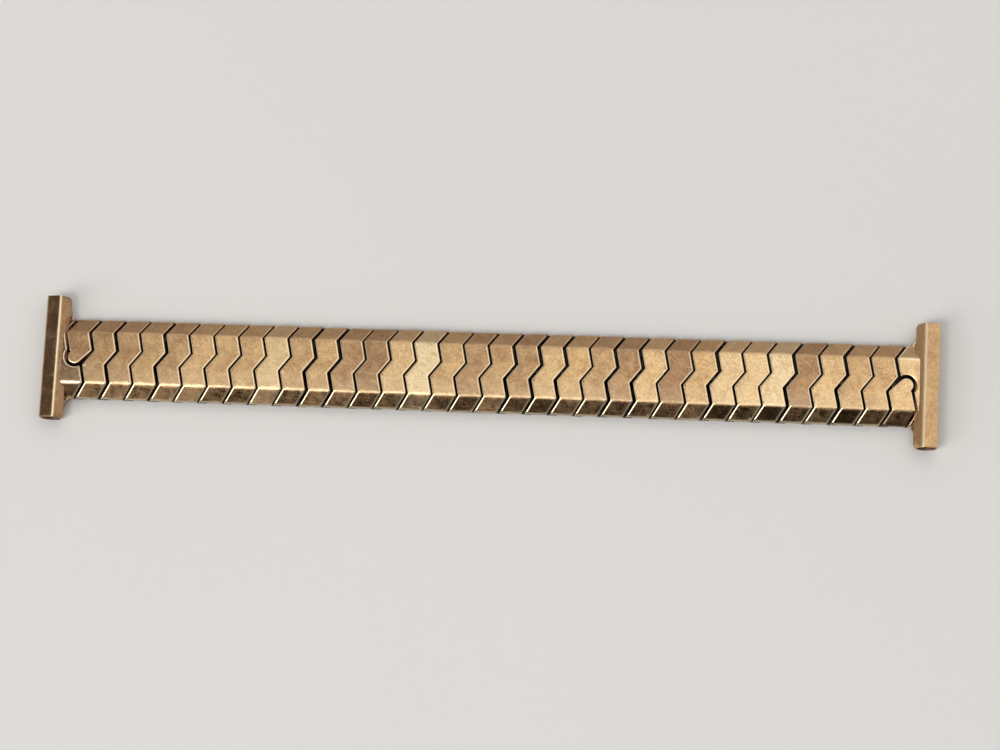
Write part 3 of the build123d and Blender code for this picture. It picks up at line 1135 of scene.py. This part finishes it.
@dataclass
class Works(Piece):
    """What each link holds under its cap: casing, springs and staple."""

    spring_x: float = -1.425
    spring_length: float = 0.48
    spring_radius: float = 0.26
    spring_wire: float = 0.055
    spring_turns: int = 4
    turn_steps: int = 20
    wire_sides: int = 8
    leg_y: float = 3.90
    wire_z: float = 0.50
    bevel: float = 0.025
    tongue_x: Point = (-1.20, 0.16)
    tongue_y: Point = (5.30, 5.63)
    tongue_z: Point = (0.02, 0.78)
    tongue_shade: float = -0.85
    full_width: float = 9.5
    cap_top: float = 2.55
    casing_top: float = 2.5
    staple_width: float = 7.0
    staple_low: float = 0.1

    @staticmethod
    def _loaded(node: str) -> bmesh.types.BMesh:
        """Copies a CAD node's mesh and joins its doubled points.

        Args:
            node: Name of the node.

        Returns:
            The copy.
        """
        work = bmesh.new()
        work.from_mesh(cad_nodes()[node].data)
        bmesh.ops.remove_doubles(work, verts=work.verts, dist=1e-7)
        work.faces.ensure_lookup_table()
        return work

    @staticmethod
    def _islands(work: bmesh.types.BMesh) -> list[list[int]]:
        """Splits a mesh into its separate solids.

        Args:
            work: The mesh.

        Returns:
            Face numbers of each solid.
        """
        seen: set[int] = set()
        found: list[list[int]] = []
        for face in work.faces:
            if face.index in seen:
                continue
            group, stack = [], [face]
            seen.add(face.index)
            while stack:
                current = stack.pop()
                group.append(current.index)
                for other in (f for edge in current.edges for f in edge.link_faces):
                    if other.index not in seen:
                        seen.add(other.index)
                        stack.append(other)
            found.append(group)
        return found

    def _solid(
        self, node: str, name: str, group: Sequence[int], sides: Sequence[int], x: float
    ) -> bpy.types.Object:
        """Makes a new piece in the place of one solid of a CAD node, with softened edges.

        Args:
            node: Name of the node.
            name: Name of the new piece.
            group: Face numbers of the solid.
            sides: Ends that get a tongue.
            x: X of the link's middle.

        Returns:
            The new object.
        """
        work = self._loaded(node)
        keep = set(group)
        others = [face for face in work.faces if face.index not in keep]
        bmesh.ops.delete(work, geom=others, context="FACES")
        one_degree = math.radians(1)
        bmesh.ops.dissolve_limit(
            work, angle_limit=one_degree, verts=work.verts, edges=work.edges
        )
        self._tongues(work, x, sides)
        data = bpy.data.meshes.new(name)
        work.to_mesh(data)
        work.free()
        # The tongues' points get painted shade, as they sit deep in the seams.
        count, shaded = len(data.vertices), 8 * len(sides)
        wear = [0.0] * (count - shaded) + [self.tongue_shade] * shaded
        tone = random.Random(name).random()
        add_values(data, {"wear": wear, "bevel": [0.0] * count, "tone": [tone] * count})
        made = placed(name, data)
        soften(made, self.bevel)
        return made

    def _tongues(self, work: bmesh.types.BMesh, x: float, sides: Sequence[int]) -> None:
        """Adds the casing's end tongues, which close the outer ends of the seams from below.

        Args:
            work: Mesh of the casing.
            x: X of the link's middle.
            sides: 1 for the far end and -1 for the near end.
        """
        for side in sides:
            u0, u1 = sorted(side * u for u in self.tongue_x)
            v0, v1 = sorted(side * v for v in self.tongue_y)
            corners = [
                work.verts.new(((x + u) * MM, v * MM, w * MM))
                for w in self.tongue_z
                for u, v in ((u0, v0), (u1, v0), (u1, v1), (u0, v1))
            ]
            walls = [(i, (i + 1) % 4, (i + 1) % 4 + 4, i + 4) for i in range(4)]
            for face in [(3, 2, 1, 0), (4, 5, 6, 7), *walls]:
                work.faces.new([corners[i] for i in face])

    def _spring(self, number: int, index: int, y: float) -> bpy.types.Object:
        """One coil spring round a staple's leg, as a real helix of wire.

        Args:
            number: Number of the link.
            index: 1 on the far side and 2 on the near side.
            y: Y of the leg.

        Returns:
            The spring.
        """
        out = Sheet()
        wire = self.spring_wire
        steps = self.spring_turns * self.turn_steps
        start = link_x(number) + self.spring_x + wire
        length = self.spring_length - 2 * wire
        loops = []
        for k in range(steps + 1):
            a = 2 * math.pi * k / self.turn_steps
            centre = start + length * k / steps
            ring = []
            for j in range(self.wire_sides):
                b = 2 * math.pi * j / self.wire_sides
                radius = self.spring_radius + wire * math.cos(b)
                across, up = radius * math.cos(a), radius * math.sin(a)
                ring.append(out.point(centre + wire * math.sin(b), y + across, self.wire_z + up))
            loops.append(ring)
        out.rod(loops)
        tone = random.Random(number * 3 + index).random()
        return out.finish(f"spring_{number:02d}_{index}", tone)

    def build(self, number: int) -> None:
        """Builds the works of one link.

        Args:
            number: Number of the link.
        """
        node = f"link_{number:02d}"
        x = link_x(number)
        work = self._loaded(node)
        for group in self._islands(work):
            corners = [v.co for i in group for v in work.faces[i].verts]
            low = min(c.z for c in corners) / MM
            high = max(c.z for c in corners) / MM
            width = (max(c.y for c in corners) - min(c.y for c in corners)) / MM
            full = width > self.full_width
            if full and high > self.cap_top:
                continue
            if full and high < self.casing_top:
                made = self._solid(node, f"casing_{number:02d}", group, (1, -1), x)
            elif width > self.staple_width and low > self.staple_low:
                made = self._solid(node, f"staple_{number:02d}", group, (), x)
            else:
                continue
            self.dress(made, node, [node], Slot.STEEL)
        work.free()
        if number > 1:
            for index, y in enumerate((self.leg_y, -self.leg_y), 1):
                self.dress(self._spring(number, index, y), node, [node], Slot.STEEL)


@dataclass(frozen=True)
class EndLook:
    """How one end looks: the shade zones of its bar's faces, its outer face's painted shade, the
    tones of bar and plate, and its dirt and painted shade.
    """

    outer_shade_zone: float
    slope_shade_zone: float
    outer_shade: float
    tones: Point
    grime: float


@dataclass
class TBar(Piece):
    """One T-bar end: the folded bar and the plate that closes round the lobed cap."""

    wave: Wave = Wave()
    pressing: Pressing = Pressing()
    # Each end: shade zones of the outer face and the slope, painted shade on the outer face, tones
    # of bar and plate, and dirt with painted shade.
    left_look: EndLook = EndLook(1.0, 0.2, 0.24, (0.95, 1.45), 0.75)
    right_look: EndLook = EndLook(0.6, 1.0, 0.0, (0.32, 0.25), 0.45)
    ridge_x: float = 61.05
    ridge_z: float = 3.10
    outer_x: float = 63.10
    inner_x: float = 59.74
    shoulder_z: float = 2.65
    flank_z: float = 1.95
    cuts: Triple = (0.18, 0.17, 0.30)
    round_steps: int = 28
    run: float = 0.22
    length: float = 17.50
    rim: float = 0.09
    spans: int = 44
    dent: float = 0.02
    ridge_width: float = 0.16
    outer_width: float = 0.20
    dent_sizes: Point = (1.6, 2.2)
    # Where the bar's folds and rims get wear with painted highlight, and where its seat gets
    # painted shade.
    fold_z: float = 2.2
    outer_share: float = 0.5
    rim_share: float = 0.35
    clean_z: float = 1.6
    outside_from: Point = (0.1, 0.4)
    seat_x: float = 0.5
    seat_near: float = -0.9
    seat_far: float = 0.1
    seat_z: Point = (2.45, 2.15)
    seat_shade: float = -0.75
    mouth_sheet: float = 0.22
    mouth_round: float = 0.60
    mouth_cut: float = 0.26
    end_link_x: float = 58.575
    bar_overlap: float = 0.45
    seam_gap: float = 0.40
    lobe_groove: float = 0.50
    groove_steps: int = 24
    corner: float = 1.15
    far_corner: float = 0.80
    near_corner: float = 1.02
    corner_root: float = 0.35
    corner_sink: float = 0.25
    corner_rise: float = 0.58
    web_z: float = 1.34
    web_foot: float = 0.95
    plate_tilt: float = 0.05
    plate_foot: float = 2.15
    # Web rows: share towards the root, drop, and wear with painted highlight along the top edge.
    web_rows: tuple[Triple, ...] = (
        (0.0, 0.12, 0.2),
        (0.03, 0.05, 0.5),
        (0.09, 0.0, 0.3),
        (0.3, 0.0, 0.0),
        (0.55, 0.0, 0.0),
        (0.8, 0.0, 0.0),
    )

    def profile(self) -> list[Point]:
        """Section of the bar in X and Z, for the left end, with rounded corners.

        Returns:
            Closed outline, counter-clockwise.
        """
        radius = (self.outer_x - self.inner_x) / 2
        middle = -(self.outer_x + self.inner_x) / 2
        corners = [
            (-self.inner_x, radius),
            (-self.inner_x, self.flank_z),
            (-self.ridge_x, self.ridge_z),
            (-self.outer_x, self.shoulder_z),
            (-self.outer_x, radius),
        ]
        points = corners[:1]
        for i, cut in enumerate(self.cuts):
            points += corner_curve(corners[i : i + 3], cut, limit=0.5, steps=6)
        for k in range(self.round_steps):
            a = math.pi + math.pi * k / self.round_steps
            points.append((middle + radius * math.cos(a), radius + radius * math.sin(a)))
        return counter_clockwise(densified(points, self.run))

    def mouth(self, x: float, y: float) -> float:
        """X of a point of the bar once its inner corners are rounded off at the ends.

        Args:
            x: X of the point on the bar's section.
            y: Its place along the bar.

        Returns:
            The new X.
        """
        past = (abs(y) - self.length / 2 + self.mouth_round) / self.mouth_round
        past = min(max(past, 0.0), 1.0)
        reach = x + self.ridge_x
        return x if reach <= 0 else reach * (1 - self.mouth_cut * past**2) - self.ridge_x

    def bar_wear_and_shade(self, x: float, y: float, z: float, rim: float, outer_shade: float) -> float:
        """Wear and painted light of a point of the bar: its folds and rims are worn and painted
        bright as highlight, its seat and outer face painted dark as shade.

        Args:
            x: X of the point on the bar's section.
            y: Its place along the bar.
            z: Its height.
            rim: How near it is to the mouth's rim, from 0 to 1.
            outer_shade: How much painted shade the bar's outside gets.

        Returns:
            The wear and painted light.
        """
        folds = 0.0
        if z > self.fold_z:
            ridge = math.exp(-(((x + self.ridge_x) / self.ridge_width) ** 2))
            edge = math.exp(-(((x + self.outer_x) / self.outer_width) ** 2))
            folds = max(ridge, self.outer_share * edge)
        wear = max(folds, self.rim_share * rim)
        if wear < 0.1:
            wear = -outer_shade * self.outside(x) if z > self.clean_z else 0.0
        seated = self.seat_near < y < self.wave.half_band - self.seat_far
        if seated and x > self.seat_x - self.ridge_x:
            wear = min(wear, self.seat_shade * smooth_step(*self.seat_z, z))
        return wear

    def outside(self, x: float) -> float:
        """1 on the bar's outer face and 0 on its slope."""
        low, high = (self.ridge_x + past for past in self.outside_from)
        return smooth_step(low, high, -x)

    def bar(self, out: Sheet, look: EndLook) -> None:
        """Adds the hollow bar.

        Args:
            out: Sheet that takes it.
            look: How it is worn and where it is painted with shade.
        """
        outer = self.profile()
        half, rim = self.length / 2, self.rim
        stations = [(half - rim * cut, rim * shrink) for cut, shrink in ((0, 1), (0.13, 0.5))]
        stations += [(half - rim * 0.5, rim * 0.13), (half - rim, 0.0)]
        reach = half - rim - 0.1
        middle = [(reach * (1 - 2 * k / self.spans), 0.0) for k in range(self.spans + 1)]
        rings = []
        for y, shrink in stations + middle + [(-y, s) for y, s in reversed(stations)]:
            ring = []
            for x, z in inset(outer, shrink) if shrink else outer:
                field_place = (x / self.dent_sizes[0], y / self.dent_sizes[1], 40 + z)
                dent = self.dent * noise.noise(Vector(field_place))
                outside = self.outside(x)
                # Zone by face, which paints shade on the outer face and the slope.
                zone = look.outer_shade_zone * outside + look.slope_shade_zone * (1 - outside)
                wear = self.bar_wear_and_shade(x, y, z, shrink / rim, look.outer_shade)
                level = z - abs(dent) * 0.5 if z > 1 else z
                ring.append(out.point(self.mouth(x + min(dent, 0), y), y, level, wear, zone))
            rings.append(ring)
        deep = half - 0.03
        hollow = inset(outer, self.mouth_sheet)
        # The inside of the hollow is painted dark as shade.
        for y in (-deep, 0.3 - deep, 0.7 - deep, deep - 0.7, deep - 0.3, deep):
            rings.append([out.point(self.mouth(x, y), y, z, -0.9) for x, z in hollow])
        for a, b in zip(rings, rings[1:] + rings[:1]):
            out.bridge(a, b)

    def plate_outline(self) -> list[Point]:
        """Plan outline of the plate, about the end link's middle.

        Returns:
            The outline, counter-clockwise.
        """
        wave = self.wave
        bar = self.end_link_x - self.ridge_x + self.bar_overlap
        near = wave.seam(wave.half_width)[3:]
        lean = (near[1][0] - near[0][0]) / (near[0][1] - near[1][1])
        radius = wave.lobe_radius + self.lobe_groove

        def inside(x: float, y: float) -> bool:
            """Is a point on the plate's side of the first seam?"""
            past = y - near[0][1]
            shift = past * wave.kink_lean / wave.half_kink if past > 0 else -past * lean
            return x <= near[0][0] + shift

        start = wave.touch(wave.seam(wave.half_width + self.seam_gap)[2], radius)
        while not inside(*wave.round(radius, start)):
            start -= 0.01
        groove = wave.seam(-wave.half_width - self.seam_gap)[:3]
        outline = wave.arc(radius, start, groove[2], self.groove_steps) + groove[::-1]
        outline += [(bar, wave.half_band), (bar, -wave.half_band), near[2], near[1]]
        return counter_clockwise(outline)

    def corners(self, out: Sheet) -> None:
        """Adds the rounded webs between the bar and the plate.

        Args:
            out: Sheet that takes them.
        """
        band, start, reach = self.wave.half_band, -self.inner_x, self.corner
        root = Vector((start - self.corner_root, band - self.corner_sink))
        for side, along in ((1, self.far_corner), (-1, self.near_corner)):
            curve = [Vector((root.x, band + reach))]
            for k in range(13):
                a = math.pi + math.pi / 2 * k / 12
                x, y = start + along * (1 + math.cos(a)), band + reach * (1 + math.sin(a))
                curve.append(Vector((x, y)))
            curve.append(Vector((start + along, root.y)))

            def level(x: float, y: float, run: float = along) -> float:
                """Height of the web, which rises towards the bar."""
                toward = min(max((start + run - x) / run, 0.0), 1.0)
                rise = self.corner_rise * toward
                return self.web_z + rise * smooth_step(band - 0.2, band + reach * 0.7, y)

            # The web's foot and underside get painted shade; its zone paints the rose shade of a
            # bevel.
            foot = [out.point(x, side * y, self.web_foot, -0.6, 1.0) for x, y in curve]
            rows = [foot]
            for share, drop, wear in self.web_rows:
                places = [p.lerp(root, share) for p in curve]
                rows.append(
                    [out.point(x, side * y, level(x, y) - drop, wear, 1.0) for x, y in places]
                )
            middle = out.point(root.x, side * root.y, level(root.x, root.y), 0.0, 1.0)
            under = out.point(root.x, side * root.y, self.web_foot, -0.8)
            for i in range(len(curve) - 1):
                for a, b in zip(rows, rows[1:]):
                    out.mesh.faces.new((a[i], a[i + 1], b[i + 1], b[i]))
                out.mesh.faces.new((rows[-1][i], rows[-1][i + 1], middle))
                out.mesh.faces.new((foot[i + 1], foot[i], under))

    def build(self, side: Side) -> None:
        """Builds one end.

        Args:
            side: Which end of the band.
        """
        name = side.name.lower()
        right = side is Side.RIGHT
        look = self.right_look if right else self.left_look
        shell, plate = Sheet(), Sheet()
        self.bar(shell, look)
        pressing = replace(self.pressing, foot=self.plate_foot)
        tilt = (self.plate_tilt, 0.0)
        pressing.press(plate, self.plate_outline(), seed=90.0 + side.value, tilt=tilt)
        plate.move(-self.end_link_x, 0.0)
        self.corners(plate)
        if right:
            shell.turn(math.pi)
            plate.turn(math.pi)
            plate.swap_bevels()
        for sheet, label, tone in zip((shell, plate), ("bar", "plate"), look.tones):
            made = sheet.finish(f"{name}_end_{label}", tone, look.grime)
            self.dress(made, f"{name}_end", [f"{name}_end_shell"], Slot.GOLD)


@dataclass
class SteelParts(Piece):
    """CAD nodes whose shape stays: tubes, hinge eyes, pins and free staples."""

    bevel: float = 0.02

    def build(self) -> None:
        """Gives each kept node its finish and softened edges."""
        for name, node in cad_nodes().items():
            ending = name.endswith(("bar_tube", "end_hinge", "hinge_pin"))
            if not ending and not name.startswith("draw_link"):
                continue
            node.data.materials.clear()
            node.data.materials.append(self.steel)
            soften(node, self.bevel)
            log.info("%s keeps its CAD shape", name)


@dataclass(frozen=True)
class Studio:
    """Pale table, soft light and the camera.

    A light patch is a direction, the cosines between which it fades, and its strength at each.
    The lamp's place and size are in metres.
    """

    lens: float = 121.67
    distance: float = 473.0
    tilt: float = -10.625
    yaw: float = -5.650
    roll: float = -1.917
    aim: Point = (0.0, 0.557)
    shift_x: float = 2.07
    flat_z: float = 2.60
    table_size: float = 1.5
    floor: Colour = (0.680, 0.675, 0.663)
    backdrop: float = 0.74
    room: Colour = (1.0, 0.985, 0.96)
    lamp_place: Triple = (-0.33, -0.31, 0.80)
    lamp_size: Point = (0.34, 0.18)
    lamp_power: float = 1.9
    lamp_colour: Colour = (1.0, 0.98, 0.95)
    light_patches: tuple[tuple[Triple, Point, Point], ...] = (
        ((0.0, 0.0, 1.0), (0.0, 0.9), (0.42, 1.02)),
        ((0.151, -0.785, 0.604), (0.90, 0.98), (1.0, 0.04)),
        ((0.0, -1.0, 0.0), (0.45, 0.80), (1.0, 0.35)),
        ((-0.609, 0.181, 0.773), (0.86, 0.975), (1.0, 0.03)),
        ((-0.71, -0.60, 0.36), (0.88, 0.96), (1.0, 6.6)),
        ((-0.80, 0.18, 0.57), (0.955, 0.99), (1.0, 2.4)),
        ((0.92, 0.18, 0.35), (0.85, 0.97), (1.0, 1.5)),
        ((1.0, 0.0, 0.0), (-0.20, 0.15), (0.90, 1.28)),
        ((1.0, 0.0, 0.0), (0.25, 0.60), (1.0, 0.72)),
    )

    def camera(self) -> None:
        """Places the camera."""
        turn = (
            Matrix.Rotation(math.radians(self.roll), 3, "Z")
            @ Matrix.Rotation(math.radians(self.yaw), 3, "Y")
            @ Matrix.Rotation(math.radians(self.tilt), 3, "X")
        )
        back = turn.transposed()
        place = back @ Vector((-self.aim[0], -self.aim[1], self.distance))
        place += Vector((self.shift_x, 0, self.flat_z))
        data = bpy.data.cameras.new("camera")
        data.lens = self.lens
        data.sensor_width = 36.0
        data.clip_start = 0.01
        data.clip_end = 10.0
        made = placed("camera", data)
        made.matrix_world = Matrix.Translation(place * MM) @ back.to_4x4()
        bpy.context.scene.camera = made

    def paint(self) -> bpy.types.Material:
        """The table's faintly uneven paint.

        Returns:
            The material.
        """
        material = bpy.data.materials.new("table_paint")
        material.use_nodes = True
        graph = Graph(material.node_tree)
        shader = graph.tree.nodes["Principled BSDF"]
        shader.inputs["Roughness"].default_value = 0.9
        shader.inputs["Specular IOR Level"].default_value = 0.1
        place = graph.add("ShaderNodeTexCoord").outputs["Object"]
        clouds = graph.noise(vector=place, scale=8.0, detail=2.0)
        ramp = graph.add("ShaderNodeValToRGB", {"Fac": clouds})
        for stop, level in zip(ramp.color_ramp.elements, (0.97, 1.02)):
            stop.color = (*(min(c * level, 1.0) for c in self.floor), 1.0)
        graph.put(shader.inputs["Base Color"], ramp.outputs["Color"])
        return material

    def table(self, shown: bpy.types.Collection) -> None:
        """Makes the pale table.

        Args:
            shown: The band's pieces, which the table stays under.
        """
        work = bmesh.new()
        bmesh.ops.create_grid(work, x_segments=8, y_segments=8, size=self.table_size)
        bmesh.ops.translate(work, verts=work.verts, vec=(0, 0, -0.01 * MM))
        data = bpy.data.meshes.new("table")
        work.to_mesh(data)
        work.free()
        made = placed("table", data)
        data.materials.append(self.paint())
        made.modifiers.new("below_band", "NODES").node_group = self._lowering(shown)
        made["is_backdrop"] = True

    @staticmethod
    def _lowering(shown: bpy.types.Collection) -> bpy.types.NodeTree:
        """Geometry nodes that lower a mesh to the band's lowest point, however the band bends.

        Args:
            shown: The band's pieces.

        Returns:
            The node group. It leaves the mesh where it is while no piece reaches below zero.
        """
        graph = Graph(bpy.data.node_groups.new("Below band", "GeometryNodeTree"))
        for direction in ("INPUT", "OUTPUT"):
            graph.tree.interface.new_socket(
                "Geometry", in_out=direction, socket_type="NodeSocketGeometry"
            )
        source, result = graph.add("NodeGroupInput"), graph.add("NodeGroupOutput")
        chosen = {"Collection": shown}
        pieces = graph.add("GeometryNodeCollectionInfo", chosen, transform_space="RELATIVE")
        whole = graph.add("GeometryNodeRealizeInstances", {"Geometry": pieces.outputs[0]})
        box = graph.add("GeometryNodeBoundBox", {"Geometry": whole.outputs["Geometry"]})
        corner = graph.add("ShaderNodeSeparateXYZ", {"Vector": box.outputs["Min"]})
        lowest = graph.math("MINIMUM", corner.outputs["Z"], 0.0)
        offset = graph.add("ShaderNodeCombineXYZ", {"Z": lowest}).outputs["Vector"]
        inputs = {"Geometry": source.outputs["Geometry"], "Offset": offset}
        moved = graph.add("GeometryNodeSetPosition", inputs)
        graph.put(result.inputs["Geometry"], moved.outputs["Geometry"])
        return graph.tree

    def lamp(self) -> None:
        """Adds one soft lamp on the near left, which points at the band."""
        data = bpy.data.lights.new("key_lamp", "AREA")
        data.shape = "RECTANGLE"
        data.size, data.size_y = self.lamp_size
        data.energy = self.lamp_power
        data.color = self.lamp_colour
        made = placed("key_lamp", data)
        made.location = self.lamp_place
        made.rotation_euler = (-made.location).to_track_quat("-Z", "Y").to_euler()

    def world(self) -> None:
        """Lights the room from overhead, with brighter and darker patches round the band."""
        world = bpy.data.worlds.new("room")
        world.use_nodes = True
        bpy.context.scene.world = world
        graph = Graph(world.node_tree)
        background = graph.tree.nodes["Background"]
        place = graph.add("ShaderNodeTexCoord").outputs["Generated"]
        shades = []
        for axis, cosines, strengths in self.light_patches:
            dot = graph.add("ShaderNodeVectorMath", {0: place, 1: axis}, operation="DOT_PRODUCT")
            shades.append(graph.ranged(dot.outputs["Value"], cosines, strengths, eased=True))
        path = graph.add("ShaderNodeLightPath")
        inputs = {"Factor": path.outputs["Is Camera Ray"], "A": graph.times(*shades)}
        seen = graph.add("ShaderNodeMix", {**inputs, "B": self.backdrop})
        graph.put(background.inputs["Strength"], seen.outputs["Result"])
        background.inputs["Color"].default_value = (*self.room, 1.0)

    def build(self, shown: bpy.types.Collection) -> None:
        """Builds the whole studio.

        Args:
            shown: The band's pieces.
        """
        self.table(shown)
        self.world()
        self.lamp()
        self.camera()
        bpy.context.scene.view_settings.view_transform = "Standard"


def main() -> None:
    """Builds the studio and then the band, from its left end to its right end."""
    logging.basicConfig(level=logging.INFO, format="%(name)s: %(message)s")
    shown = bpy.data.collections.new("band")
    Studio().build(shown)
    effects = Effects()
    brass = BrassFinish("worn_gold").paint(effects)
    steel = SteelFinish("satin_steel").paint(effects)
    ends = TBar(brass, steel)
    caps = Cap(brass, steel)
    works = Works(brass, steel)
    ends.build(Side.LEFT)
    for number in range(1, LINK_COUNT + 1):
        caps.build(number)
        works.build(number)
    ends.build(Side.RIGHT)
    SteelParts(brass, steel).build()
    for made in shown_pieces():
        shown.objects.link(made)


if __name__ == "__main__":
    main()
